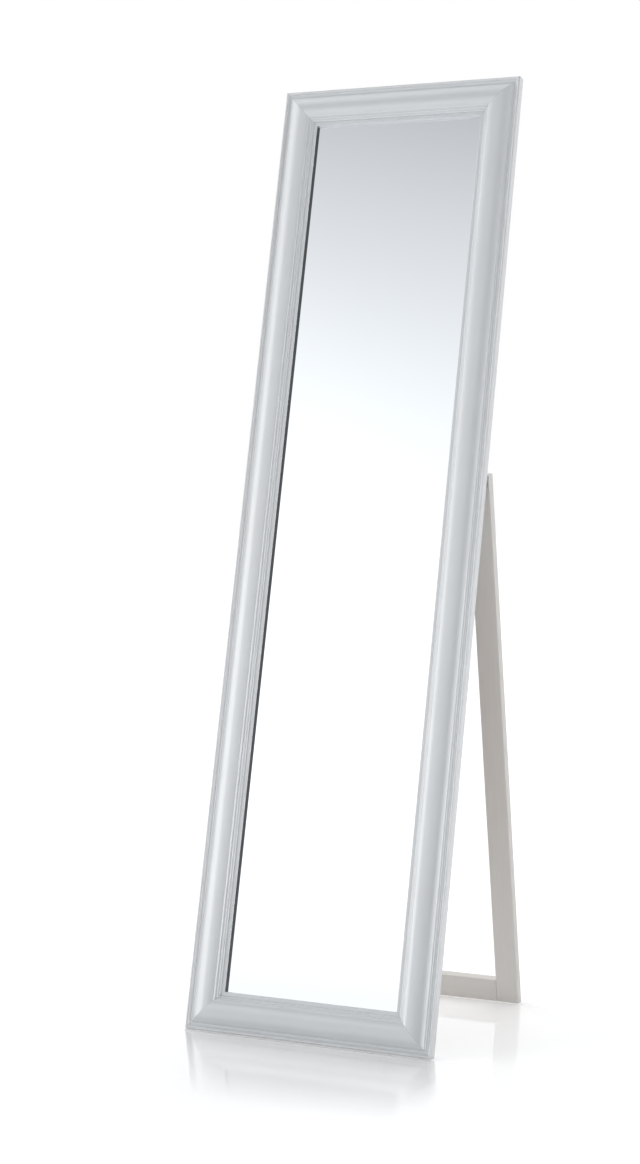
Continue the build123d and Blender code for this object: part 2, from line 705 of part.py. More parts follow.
def main():
    """Build every node, centre the whole over the origin and write one file a node."""
    nodes = {**build_frame(), **build_stand(), **build_hinges(), **build_stays()}
    boxes = [shape.bounding_box() for shapes in nodes.values() for shape in shapes]
    depth_low = min(box.min.Y for box in boxes)
    depth_high = max(box.max.Y for box in boxes)
    shift = -(depth_low + depth_high) / 2
    os.makedirs("parts", exist_ok=True)
    for name, shapes in nodes.items():
        solids = [solid for shape in shapes for solid in (Pos(0, shift, 0) * shape).solids()]
        whole = solids[0] if len(solids) == 1 else Compound(children=solids)
        export_step(whole, f"parts/{name}.step")
    axis_y, axis_z = hinge_axis()
    pivot = on_frame(Pos(0, STAY_PIVOT_OUT, HINGE_UP - STAY_PIVOT_DOWN) * Vertex(0, 0, 0))
    ratio = stay_ratio()
    print(f"hinge axis y {axis_y + shift:.3f} z {axis_z:.3f}, opening {OPENING:.2f} degrees")
    print(f"stay pivot y {pivot.center().Y + shift:.3f} z {pivot.center().Z:.3f}")
    print(f"coupling ratio {ratio:.5f}, a stay turns {ratio * OPENING:.4f} degrees")


main()
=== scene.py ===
"""Looks of a free-standing floor mirror: a white moulded frame that leans on a hinged easel stand.

Metres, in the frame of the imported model: X to the right as seen from the front, +Y to the back,
+Z up, the floor at Z 0. Angles in the classes below are degrees unless a name says otherwise.
"""

import logging
from collections.abc import Callable
from dataclasses import dataclass, field
from enum import Enum
from math import atan2, cos, degrees, pi, radians, sin
from typing import Union

import bmesh
import bpy
import numpy as np
from mathutils import Matrix, Vector


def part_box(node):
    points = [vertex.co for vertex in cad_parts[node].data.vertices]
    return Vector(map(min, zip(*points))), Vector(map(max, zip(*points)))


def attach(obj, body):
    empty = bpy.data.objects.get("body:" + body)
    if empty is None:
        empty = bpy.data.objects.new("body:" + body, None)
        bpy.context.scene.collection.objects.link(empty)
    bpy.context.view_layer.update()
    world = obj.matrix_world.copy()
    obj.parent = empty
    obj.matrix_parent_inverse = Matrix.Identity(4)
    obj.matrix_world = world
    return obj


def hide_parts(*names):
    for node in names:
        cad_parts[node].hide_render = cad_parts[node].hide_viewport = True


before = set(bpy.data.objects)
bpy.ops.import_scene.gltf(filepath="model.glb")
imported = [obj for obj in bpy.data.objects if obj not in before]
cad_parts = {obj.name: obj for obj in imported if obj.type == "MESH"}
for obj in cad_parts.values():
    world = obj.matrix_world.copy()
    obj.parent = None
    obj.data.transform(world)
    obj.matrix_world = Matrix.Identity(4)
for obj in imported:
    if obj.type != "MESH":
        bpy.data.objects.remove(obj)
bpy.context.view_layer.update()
LOG = logging.getLogger("floor_mirror")

MM = 0.001
WELD = 1e-6  # metres within which two corners of a copied mesh are one
SORT_DIGITS = 5  # decimals of a metre by which the solids of a node are put in order
FLAT_WEIGHT = 90  # how strongly a large face sets the normals at its edge
NOISE_ENDS = (0.3, 0.7)  # numbers of the noise that count as its dark and its light end

Number = Union[bpy.types.NodeSocket, float]
Colour = Union[bpy.types.NodeSocket, tuple[float, ...]]


class Body(Enum):
    """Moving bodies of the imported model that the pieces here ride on."""

    FRAME = "frame"
    STAND = "stand"


class Grain(Enum):
    """Direction in which the grain of a board runs."""

    ACROSS = "along X"
    UP_THE_SLOPE = "along the leg"


def linear(colour: str) -> tuple[float, float, float, float]:
    """Linear colour of an sRGB hex value.

    Args:
        colour: Six hex digits, with or without a hash in front.

    Returns:
        Red, green, blue and an alpha of 1.
    """
    digits = colour.lstrip("#")
    shares = [int(digits[n:n + 2], 16) / 255 for n in (0, 2, 4)]
    light = [c / 12.92 if c <= 0.04045 else ((c + 0.055) / 1.055) ** 2.4 for c in shares]
    return (*light, 1.0)


def add(tree: bpy.types.NodeTree, kind: str, inputs: dict | None = None,
        **settings: object) -> bpy.types.Node:
    """Adds a node with its settings and links.

    Args:
        tree: Node tree that gets the node.
        kind: Blender's type name of the node.
        inputs: Value or output socket for each input, by name or number.
        settings: Properties of the node.

    Returns:
        The new node.
    """
    node = tree.nodes.new(kind)
    for name, value in settings.items():
        setattr(node, name, value)
    for key, value in (inputs or {}).items():
        if isinstance(value, bpy.types.NodeSocket):
            tree.links.new(value, node.inputs[key])
        else:
            node.inputs[key].default_value = value
    return node


@dataclass(frozen=True)
class Slope:
    """Coordinates of a leaning part: X across, Y out of its back, Z up along it."""

    centre: Vector
    lean: float

    @classmethod
    def along(cls, low: Vector, high: Vector) -> "Slope":
        """Slope whose Z runs from one point up to another.

        Args:
            low: Lower point on the part's middle line.
            high: Upper point on it.

        Returns:
            The slope, centred half-way.
        """
        run = high - low
        return cls((low + high) / 2, degrees(atan2(run.y, run.z)))

    def turn(self) -> Matrix:
        """Rotation from the world to the slope."""
        return Matrix.Rotation(radians(self.lean), 3, "X")

    def mapping(self, tree: bpy.types.NodeTree) -> bpy.types.NodeSocket:
        """Object coordinates turned into the slope's, for patterns that follow the part.

        Args:
            tree: Material tree.

        Returns:
            Socket with the coordinates in metres.
        """
        place = -(self.turn() @ self.centre)
        source = add(tree, "ShaderNodeTexCoord").outputs["Object"]
        return add(tree, "ShaderNodeMapping", {
            "Vector": source,
            "Location": place,
            "Rotation": (radians(self.lean), 0.0, 0.0),
        }).outputs[0]

    def box(self, node: str) -> tuple[Vector, Vector]:
        """Box of a CAD node in the slope's coordinates.

        Args:
            node: Name of the node.

        Returns:
            Its lowest and its highest corner.
        """
        turn = self.turn()
        points = np.array([turn @ (v.co - self.centre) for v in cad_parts[node].data.vertices])
        return Vector(points.min(0)), Vector(points.max(0))


def islands(node: str) -> list[np.ndarray]:
    """Separate solids of a CAD node.

    Args:
        node: Name of the node.

    Returns:
        Corner coordinates of each solid, one array per solid.
    """
    mesh = bmesh.new()
    mesh.from_mesh(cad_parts[node].data)
    bmesh.ops.remove_doubles(mesh, verts=mesh.verts, dist=WELD)
    left = set(mesh.verts)
    found = []
    while left:
        stack = [left.pop()]
        solid = []
        while stack:
            vert = stack.pop()
            solid.append(tuple(vert.co))
            for edge in vert.link_edges:
                other = edge.other_vert(vert)
                if other in left:
                    left.remove(other)
                    stack.append(other)
        found.append(np.array(solid))
    mesh.free()
    return sorted(found, key=lambda solid: tuple(np.round(solid.mean(0), SORT_DIGITS)))


def middle(solids: list[np.ndarray]) -> Vector:
    """Mean of the centres of several solids."""
    return Vector(np.mean([solid.mean(0) for solid in solids], axis=0))


def frame_slope() -> Slope:
    """Slope of the leaning frame, from its glass.

    Returns:
        The slope, centred in the mirror.
    """
    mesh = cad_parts["mirror_glass"].data
    corners = sorted((v.co.copy() for v in mesh.vertices), key=lambda co: co.z)
    half = len(corners) // 2
    low = sum(corners[:half], Vector()) / half
    high = sum(corners[half:], Vector()) / half
    return Slope.along(low, high)


def stand_slope() -> Slope:
    """Slope of the open stand, from its dowels.

    Returns:
        The slope, through the middle of the boards.
    """
    dowels = sorted(islands("stand_dowels"), key=lambda solid: solid[:, 2].mean())
    half = len(dowels) // 2
    return Slope.along(middle(dowels[:half]), middle(dowels[half:]))


@dataclass(frozen=True)
class Finish:
    """What every finish has: the name of its material and the way to make it."""

    name: str

    def material(self) -> bpy.types.Material:
        """Material of the finish, made the first time that it is asked for.

        Returns:
            The material.
        """
        found = bpy.data.materials.get(self.name)
        if found:
            return found
        made = bpy.data.materials.new(self.name)
        made.use_nodes = True
        tree = made.node_tree
        tree.nodes.clear()
        surface = self.surface(tree)
        add(tree, "ShaderNodeOutputMaterial", {"Surface": surface})
        return made

    def surface(self, tree: bpy.types.NodeTree) -> bpy.types.NodeSocket:
        """Shader of the finish, made by each kind of finish."""
        raise NotImplementedError

    def mottle(self, tree: bpy.types.NodeTree, where: bpy.types.NodeSocket, size_mm: float,
               low: float, high: float, detail: float = 3.0) -> bpy.types.NodeSocket:
        """Number that wanders over the surface.

        Args:
            tree: Material tree.
            where: Coordinates in metres.
            size_mm: Size of the blotches.
            low: Number at the dark end of the noise.
            high: Number at its light end.
            detail: Octaves of the noise.

        Returns:
            Socket with the number.
        """
        noise = add(tree, "ShaderNodeTexNoise", {
            "Vector": where, "Scale": 1 / (size_mm * MM), "Detail": detail,
        })
        return add(tree, "ShaderNodeMapRange", {
            0: noise.outputs["Fac"], 1: NOISE_ENDS[0], 2: NOISE_ENDS[1], 3: low, 4: high,
        }).outputs[0]


def blend(tree: bpy.types.NodeTree, share: bpy.types.NodeSocket,
          one: Colour, other: Colour) -> bpy.types.NodeSocket:
    """Mix of two colours.

    Args:
        tree: Material tree.
        share: How much of the second colour shows, 0 to 1.
        one: First colour, a socket or linear numbers.
        other: Second colour, a socket or linear numbers.

    Returns:
        Colour socket.
    """
    mix = add(tree, "ShaderNodeMix", {0: share, 6: one, 7: other}, data_type="RGBA")
    return mix.outputs[2]


@dataclass(frozen=True)
class SprayedLacquer(Finish):
    """White lacquer sprayed over a primed wood moulding and rubbed down: an even satin white.

    It gives broad soft highlights that follow the moulding, with a faint orange peel, and thin
    grey hairlines where the film has sunk into the mitres. The wall of the sight edge is coloured
    near black on the stiles, so that the wall and its double in the mirror show as a dark strip beside the
    glass.
    """

    slope: Slope
    half_width: float = 0.2
    half_height: float = 0.75
    sight: float = 0.14
    colour: str = "#CDD0D2"
    shade: str = "#CACCCE"
    line: str = "#A6A7A8"
    # near black on the stiles' sight walls; with their mirrored double it makes a dark strip beside the
    # glass
    mask: str = "#0B0B0C"
    roughness: float = 0.3
    coat_roughness: float = 0.2
    peel_mm: float = 5.0       # real orange peel is about 1 mm; drawn coarser so that it shows
    peel_depth_mm: float = 0.003
    hairline_mm: float = 0.5
    tone_mm: float = 70.0
    dull_mm: float = 40.0          # size of the blotches where the film is duller or brighter
    dull_change: float = 0.02
    wall_steepness: float = 0.95   # how squarely a wall faces across before it is masked
    wall_reach_mm: float = 1.5     # how far past the sight edge the mask reaches

    def surface(self, tree: bpy.types.NodeTree) -> bpy.types.NodeSocket:
        """Shader of the lacquer.

        Args:
            tree: Material tree.

        Returns:
            Shader socket.
        """
        where = self.slope.mapping(tree)
        axes = add(tree, "ShaderNodeSeparateXYZ", {0: where})
        across = add(tree, "ShaderNodeMath", {0: axes.outputs[0]}, operation="ABSOLUTE").outputs[0]
        up = add(tree, "ShaderNodeMath", {0: axes.outputs[2]}, operation="ABSOLUTE").outputs[0]
        off_mitre = add(tree, "ShaderNodeMath", {0: across, 1: up}, operation="SUBTRACT").outputs[0]
        gap = add(tree, "ShaderNodeMath", {
            0: off_mitre, 1: self.half_width - self.half_height, 2: self.hairline_mm * MM / 2,
        }, operation="COMPARE").outputs[0]
        tone = self.mottle(tree, where, self.tone_mm, 0.0, 1.0)
        film = blend(tree, tone, linear(self.colour), linear(self.shade))
        lined = blend(tree, gap, film, linear(self.line))
        masked = blend(tree, self.wall_mask(tree, across), lined, linear(self.mask))
        peel = add(tree, "ShaderNodeTexNoise", {
            "Vector": where, "Scale": 1 / (self.peel_mm * MM), "Detail": 1.5,
        })
        bump = add(tree, "ShaderNodeBump", {
            "Height": peel.outputs["Fac"], "Strength": 0.4, "Distance": self.peel_depth_mm * MM,
        })
        rough = self.mottle(
            tree, where, self.dull_mm, self.roughness - self.dull_change, self.roughness + self.dull_change,
        )
        return add(tree, "ShaderNodeBsdfPrincipled", {
            "Base Color": masked, "Roughness": rough, "Normal": bump.outputs[0], "IOR": 1.5,
            "Specular IOR Level": 1.0,
            "Coat Weight": 1.0, "Coat Roughness": self.coat_roughness, "Coat IOR": 1.6,
        }).outputs[0]

    def wall_mask(self, tree: bpy.types.NodeTree, across: bpy.types.NodeSocket) -> bpy.types.NodeSocket:
        """Share of black: 1 on the stiles' walls that face each other over the mirror.

        Args:
            tree: Material tree.
            across: Distance from the frame's middle line, in metres.

        Returns:
            Socket, 0 or 1.
        """
        normal = add(tree, "ShaderNodeNewGeometry").outputs["True Normal"]
        sideways = add(tree, "ShaderNodeSeparateXYZ", {0: normal}).outputs[0]
        steep = add(tree, "ShaderNodeMath", {0: sideways}, operation="ABSOLUTE").outputs[0]
        flat_on = add(tree, "ShaderNodeMath", {
            0: steep, 1: self.wall_steepness,
        }, operation="GREATER_THAN").outputs[0]
        at_sight = add(tree, "ShaderNodeMath", {
            0: across, 1: self.sight + self.wall_reach_mm * MM,
        }, operation="LESS_THAN").outputs[0]
        return add(tree, "ShaderNodeMath", {0: flat_on, 1: at_sight}, operation="MULTIPLY").outputs[0]


@dataclass(frozen=True)
class PaintedBoard(Finish):
    """Warm white paint rolled on planed softwood: matt, with the grain just telling through.

    The eye reads it as a duller, warmer white than the lacquered frame.
    """

    slope: Slope
    grain: Grain = Grain.UP_THE_SLOPE
    colour: str = "#DDDAD6"
    shade: str = "#DAD7D3"
    roughness: float = 0.48
    grain_mm: float = 3.0
    grain_length: float = 30.0     # how many times longer than wide a streak of grain is
    grain_depth_mm: float = 0.015
    grain_share: float = 0.7       # of the bump's height; the roller's stipple has the rest
    roller_mm: float = 1.8
    dull_mm: float = 14.0
    dull_change: float = 0.05

    def surface(self, tree: bpy.types.NodeTree) -> bpy.types.NodeSocket:
        """Shader of the painted board.

        Args:
            tree: Material tree.

        Returns:
            Shader socket.
        """
        where = self.slope.mapping(tree)
        squeeze = 1 / self.grain_length
        scale = (squeeze, 1.0, 1.0) if self.grain is Grain.ACROSS else (1.0, 1.0, squeeze)
        streaks = add(tree, "ShaderNodeMapping", {"Vector": where, "Scale": scale}).outputs[0]
        line = self.mottle(tree, streaks, self.grain_mm, 0.0, 1.0, detail=4.0)
        roller = self.mottle(tree, where, self.roller_mm, 0.0, 1.0, detail=1.0)
        height = add(tree, "ShaderNodeMath", {
            0: line, 1: self.grain_share,
        }, operation="MULTIPLY").outputs[0]
        both = add(tree, "ShaderNodeMath", {
            0: roller, 1: 1 - self.grain_share, 2: height,
        }, operation="MULTIPLY_ADD").outputs[0]
        bump = add(tree, "ShaderNodeBump", {
            "Height": both, "Strength": 0.6, "Distance": self.grain_depth_mm * MM,
        })
        colour = blend(tree, line, linear(self.colour), linear(self.shade))
        rough = self.mottle(
            tree, where, self.dull_mm, self.roughness - self.dull_change, self.roughness + self.dull_change,
        )
        return add(tree, "ShaderNodeBsdfPrincipled", {
            "Base Color": colour, "Roughness": rough, "Normal": bump.outputs[0], "IOR": 1.5,
        }).outputs[0]


@dataclass(frozen=True)
class SilveredGlass(Finish):
    """Float glass silvered on its back: a clear, slightly cool mirror with no texture at all."""

    colour: str = "#F1F4F7"
    shade: str = "#EFF3F6"
    roughness: float = 0.0
    tone_mm: float = 300.0

    def surface(self, tree: bpy.types.NodeTree) -> bpy.types.NodeSocket:
        """Shader of the mirror, with the faint unevenness of float glass.

        Args:
            tree: Material tree.

        Returns:
            Shader socket.
        """
        where = add(tree, "ShaderNodeTexCoord").outputs["Object"]
        tone = self.mottle(tree, where, self.tone_mm, 0.0, 1.0, detail=0.0)
        colour = blend(tree, tone, linear(self.colour), linear(self.shade))
        return add(tree, "ShaderNodeBsdfPrincipled", {
            "Base Color": colour, "Metallic": 1.0, "Roughness": self.roughness,
        }).outputs[0]


@dataclass(frozen=True)
class PressedHardboard(Finish):
    """Brown hardboard pressed against a wire screen: matt fibres with a fine woven imprint."""

    colour: str = "#7A5434"
    shade: str = "#5E3E25"
    roughness: float = 0.8
    screen_mm: float = 3.0         # real wires are about 1.5 mm apart; coarser, so that they show
    screen_depth_mm: float = 0.06
    fibre_mm: float = 1.6
    fibre_stretch: float = 4.0     # how many times longer than wide a fibre is
    cloud_mm: float = 60.0

    def surface(self, tree: bpy.types.NodeTree) -> bpy.types.NodeSocket:
        """Shader of the board's rough face.

        Args:
            tree: Material tree.

        Returns:
            Shader socket.
        """
        where = add(tree, "ShaderNodeTexCoord").outputs["Object"]
        fibres = add(tree, "ShaderNodeMapping", {
            "Vector": where, "Scale": (1.0, 1.0, 1 / self.fibre_stretch),
        }).outputs[0]
        fleck = self.mottle(tree, fibres, self.fibre_mm, 0.0, 1.0, detail=6.0)
        cloud = self.mottle(tree, where, self.cloud_mm, 0.0, 1.0)
        mean = add(tree, "ShaderNodeMath", {0: fleck, 1: cloud}, operation="ADD").outputs[0]
        share = add(tree, "ShaderNodeMath", {0: mean, 1: 0.5}, operation="MULTIPLY").outputs[0]
        axes = add(tree, "ShaderNodeSeparateXYZ", {0: where})
        wires = []
        for axis in (0, 2):
            turns = add(tree, "ShaderNodeMath", {
                0: axes.outputs[axis], 1: 2 * pi / (self.screen_mm * MM),
            }, operation="MULTIPLY").outputs[0]
            wires.append(add(tree, "ShaderNodeMath", {0: turns}, operation="SINE").outputs[0])
        imprint = add(tree, "ShaderNodeMath", {
            0: wires[0], 1: wires[1],
        }, operation="MULTIPLY").outputs[0]
        height = add(tree, "ShaderNodeMath", {0: imprint, 1: fleck}, operation="ADD").outputs[0]
        bump = add(tree, "ShaderNodeBump", {
            "Height": height, "Strength": 0.7, "Distance": self.screen_depth_mm * MM,
        })
        return add(tree, "ShaderNodeBsdfPrincipled", {
            "Base Color": blend(tree, share, linear(self.colour), linear(self.shade)),
            "Roughness": self.roughness, "Normal": bump.outputs[0],
        }).outputs[0]


@dataclass(frozen=True)
class PlatedSteel(Finish):
    """Pressed steel with a bright zinc plate: cool grey metal, half bright, faintly clouded."""

    colour: str = "#C6CACD"
    shade: str = "#AEB1B5"
    roughness: float = 0.32
    cloud_mm: float = 4.0
    smoother: float = 0.07         # how far the roughness falls under its mean, and rises over it
    rougher: float = 0.09
    grit_mm: float = 0.4
    grit_depth_mm: float = 0.005

    def surface(self, tree: bpy.types.NodeTree) -> bpy.types.NodeSocket:
        """Shader of the metal.

        Args:
            tree: Material tree.

        Returns:
            Shader socket.
        """
        where = add(tree, "ShaderNodeTexCoord").outputs["Object"]
        cloud = self.mottle(tree, where, self.cloud_mm, 0.0, 1.0)
        rough = self.mottle(
            tree, where, self.cloud_mm / 3, self.roughness - self.smoother, self.roughness + self.rougher,
        )
        grit = add(tree, "ShaderNodeTexNoise", {
            "Vector": where, "Scale": 1 / (self.grit_mm * MM), "Detail": 1.0,
        })
        bump = add(tree, "ShaderNodeBump", {
            "Height": grit.outputs["Fac"], "Strength": 0.3, "Distance": self.grit_depth_mm * MM,
        })
        return add(tree, "ShaderNodeBsdfPrincipled", {
            "Base Color": blend(tree, cloud, linear(self.colour), linear(self.shade)),
            "Metallic": 1.0, "Roughness": rough, "Normal": bump.outputs[0],
        }).outputs[0]


@dataclass(frozen=True)
class TurnedBeech(Finish):
    """Bare beech dowel: pale pinkish brown with short dark flecks along it."""

    colour: str = "#D2A878"
    shade: str = "#B98A58"
    roughness: float = 0.6
    fleck_mm: float = 0.6
    fleck_squeeze: float = 0.15    # scale of the pattern along the dowel, so that a fleck is long

    def surface(self, tree: bpy.types.NodeTree) -> bpy.types.NodeSocket:
        """Shader of the dowel, with its grain along X.

        Args:
            tree: Material tree.

        Returns:
            Shader socket.
        """
        where = add(tree, "ShaderNodeTexCoord").outputs["Object"]
        along = add(tree, "ShaderNodeMapping", {
            "Vector": where, "Scale": (self.fleck_squeeze, 1.0, 1.0),
        }).outputs[0]
        fleck = self.mottle(tree, along, self.fleck_mm, 0.0, 1.0, detail=4.0)
        return add(tree, "ShaderNodeBsdfPrincipled", {
            "Base Color": blend(tree, fleck, linear(self.colour), linear(self.shade)),
            "Roughness": self.roughness,
        }).outputs[0]


@dataclass(frozen=True)
class Sheen:
    """Strip of floor in front of a foot that mirrors what stands there, and fades with distance."""

    foot: float
    reach: float
    strength: float
    half_width: float
    feather: float = 0.06

    def share(self, tree: bpy.types.NodeTree, across: bpy.types.NodeSocket,
              depth: bpy.types.NodeSocket) -> bpy.types.NodeSocket:
        """How much of the floor is a mirror.

        Args:
            tree: Material tree.
            across: Distance from the middle of the floor, in metres.
            depth: Y of the floor, in metres.

        Returns:
            Socket, 0 behind the foot and beyond the reach.
        """
        rise = add(tree, "ShaderNodeMapRange", {
            0: depth, 1: self.foot - self.reach, 2: self.foot, 3: 0.0, 4: self.strength,
        }).outputs[0]
        ahead = add(tree, "ShaderNodeMath", {0: depth, 1: self.foot}, operation="LESS_THAN").outputs[0]
        beside = add(tree, "ShaderNodeMapRange", {
            0: across, 1: self.half_width + self.feather, 2: self.half_width,
        }).outputs[0]
        strip = add(tree, "ShaderNodeMath", {0: ahead, 1: beside}, operation="MULTIPLY").outputs[0]
        return add(tree, "ShaderNodeMath", {0: rise, 1: strip}, operation="MULTIPLY").outputs[0]


@dataclass(frozen=True)
class GlossyFloor(Finish):
    """White floor of the studio: it keeps shadows, and mirrors what stands on it near its feet."""

    sheens: tuple[Sheen, Sheen]
    diffuse: str = "#F4F4F4"
    glow: float = 0.25
    roughness: float = 0.06

    def surface(self, tree: bpy.types.NodeTree) -> bpy.types.NodeSocket:
        """Shader of the floor: a matt white with a glow for the camera, and a fading mirror.

        Args:
            tree: Material tree.

        Returns:
            Shader socket.
        """
        where = add(tree, "ShaderNodeTexCoord").outputs["Object"]
        place = add(tree, "ShaderNodeSeparateXYZ", {0: where})
        across = add(tree, "ShaderNodeMath", {0: place.outputs[0]}, operation="ABSOLUTE").outputs[0]
        near, far = (sheen.share(tree, across, place.outputs[1]) for sheen in self.sheens)
        share = add(tree, "ShaderNodeMath", {0: near, 1: far}, operation="MAXIMUM").outputs[0]
        rays = add(tree, "ShaderNodeLightPath")
        seen = add(tree, "ShaderNodeMath", {
            0: rays.outputs["Is Camera Ray"], 1: rays.outputs["Is Glossy Ray"],
        }, operation="MAXIMUM").outputs[0]
        level = add(tree, "ShaderNodeMath", {0: seen, 1: self.glow}, operation="MULTIPLY").outputs[0]
        matt = add(tree, "ShaderNodeBsdfDiffuse", {"Color": linear(self.diffuse)}).outputs[0]
        glow = add(tree, "ShaderNodeEmission", {"Strength": level}).outputs[0]
        white = add(tree, "ShaderNodeAddShader", {0: matt, 1: glow}).outputs[0]
        gloss = add(tree, "ShaderNodeBsdfGlossy", {
            "Color": linear("#FFFFFF"), "Roughness": self.roughness,
        }).outputs[0]
        return add(tree, "ShaderNodeMixShader", {0: share, 1: white, 2: gloss}).outputs[0]


def dress(node: str, finish: Finish) -> None:
    """Gives a CAD node its material.

    Args:
        node: Name of the node.
        finish: Finish that it gets.
    """
    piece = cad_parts[node]
    if not piece.material_slots:
        piece.data.materials.append(finish.material())
    for place in piece.material_slots:
        place.material = finish.material()
    LOG.info("dressed %s in %s", node, finish.name)


def show(piece: bpy.types.Object, body: Body, slot: str, *nodes: str) -> None:
    """Hangs a finished piece on the empty of its body and hides the CAD nodes that it stands for.

    Args:
        piece: Object at the origin with its place in its mesh.
        body: Body that it moves with.
        slot: Not used.
        nodes: CAD nodes that it stands for.
    """
    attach(piece, body.value)
    if nodes:
        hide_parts(*nodes)
    LOG.info("built %s, %d faces, on %s", piece.name, len(piece.data.polygons), body.value)


def new_piece(name: str, mesh: bpy.types.Mesh, finish: Finish) -> bpy.types.Object:
    """Object at the origin for a mesh.

    Args:
        name: Name of the piece.
        mesh: Its mesh, with its place in it.
        finish: Its finish.

    Returns:
        The linked object.
    """
    mesh.name = name
    mesh.materials.clear()
    mesh.materials.append(finish.material())
    piece = bpy.data.objects.new(name, mesh)
    bpy.context.scene.collection.objects.link(piece)
    return piece


def shade_smooth(mesh: bmesh.types.BMesh, crease: float) -> None:
    """Shades a mesh smooth but for its creases and open edges.

    Args:
        mesh: Mesh that is changed.
        crease: Angle from which an edge stays sharp.
    """
    for face in mesh.faces:
        face.smooth = True
    for edge in mesh.edges:
        edge.smooth = len(edge.link_faces) == 2 and edge.calc_face_angle(pi) < radians(crease)


def smooth_copy(node: str, name: str, finish: Finish, crease: float = 28.0) -> bpy.types.Object:
    """Welded copy of a CAD node, shaded smooth but for its creases.

    Args:
        node: CAD node that is copied.
        name: Name of the copy.
        finish: Its finish.
        crease: Angle from which an edge stays sharp.

    Returns:
        The piece, with weighted normals that keep its flats flat.
    """
    source = bmesh.new()
    source.from_mesh(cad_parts[node].data)
    bmesh.ops.remove_doubles(source, verts=source.verts, dist=WELD)
    source.verts.index_update()
    points = [tuple(v.co) for v in source.verts]
    faces = [[v.index for v in face.verts] for face in source.faces]
    source.free()
    mesh = bpy.data.meshes.new(name)
    mesh.from_pydata(points, [], faces)
    copy = bmesh.new()
    copy.from_mesh(mesh)
    shade_smooth(copy, crease)
    copy.to_mesh(mesh)
    copy.free()
    piece = new_piece(name, mesh, finish)
    weights = piece.modifiers.new("flats", "WEIGHTED_NORMAL")
    weights.mode = "FACE_AREA"
    weights.weight = FLAT_WEIGHT
    weights.keep_sharp = True
    return piece


